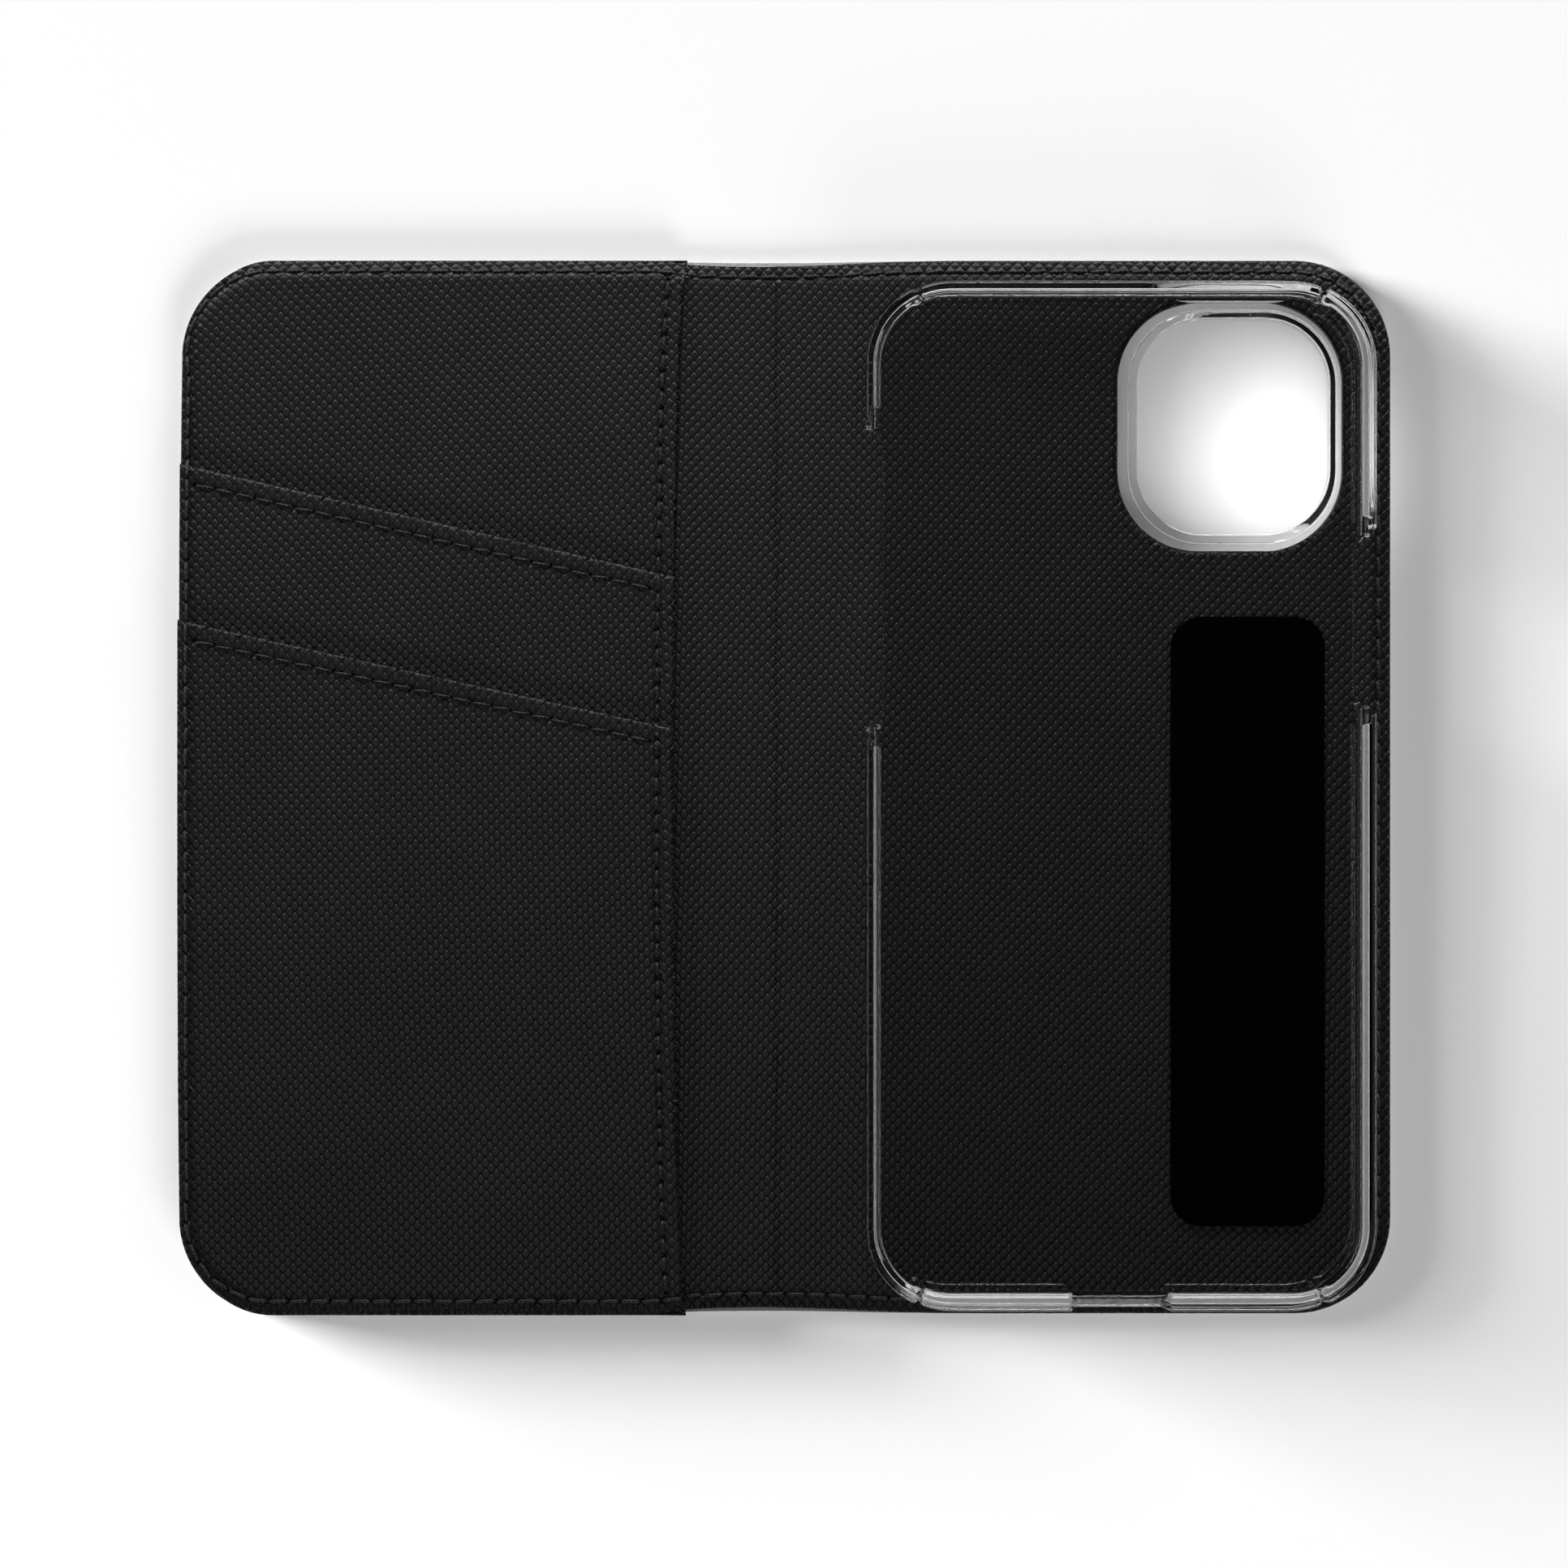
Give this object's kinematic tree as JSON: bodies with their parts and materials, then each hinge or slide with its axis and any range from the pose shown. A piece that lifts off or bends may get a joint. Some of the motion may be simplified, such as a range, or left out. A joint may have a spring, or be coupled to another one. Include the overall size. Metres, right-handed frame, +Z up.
{
  "type": "phone wallet case",
  "caption": "Folio wallet case: a stiffened cover with card pockets folds along a soft spine over a clear clip-in phone tray.",
  "frame": {"origin": "middle of the open case's footprint, on the surface it lies on", "axes": "+X across the spine towards the back cover's free edge, +Y along the spine towards the camera end, +Z up, out of the open inside faces"},
  "size_m": [0.1774, 0.1542, 0.0132],
  "materials": {
    "black_leather": "black PU leather embossed with a fine diamond grid, semi-matt",
    "outer_skin": "off-white PU leather, fine grain, semi-matt",
    "board": "raw grey stiffener board",
    "clear_shell": "clear moulded polycarbonate, glossy",
    "adhesive_foam": "black double-sided adhesive foam, dead matt",
    "thread": "black polyester sewing thread, slight sheen"
  },
  "bodies": {
    "back": {"outer_skin_back": "outer_skin", "back_board": "board", "lining_back": "black_leather", "shell_adhesive_pad": "adhesive_foam", "phone_shell": "clear_shell", "thread_perimeter_back": "thread"},
    "spine": {"outer_skin_spine": "outer_skin", "spine_board": "board", "lining_spine": "black_leather", "thread_perimeter_spine_top": "thread", "thread_perimeter_spine_bottom": "thread"},
    "front": {"outer_skin_front": "outer_skin", "front_board": "board", "lining_front": "black_leather", "card_base_panel": "black_leather", "card_panel_upper": "black_leather", "card_panel_lower": "black_leather", "thread_perimeter_front": "thread", "thread_slot_upper": "thread", "thread_slot_lower": "thread", "thread_pocket_hem": "thread"}
  },
  "joints": [
    {"name": "spine_fold", "type": "hinge", "parent": "back", "child": "spine", "pos_m": [0.0088, 0, 0.0008], "axis": [0, 1, 0], "range_deg": [-90, 90]},
    {"name": "cover_fold", "type": "hinge", "parent": "spine", "child": "front", "pos_m": [-0.0112, 0, 0.0008], "axis": [0, 1, 0], "range_deg": [-90, 90]}
  ]
}
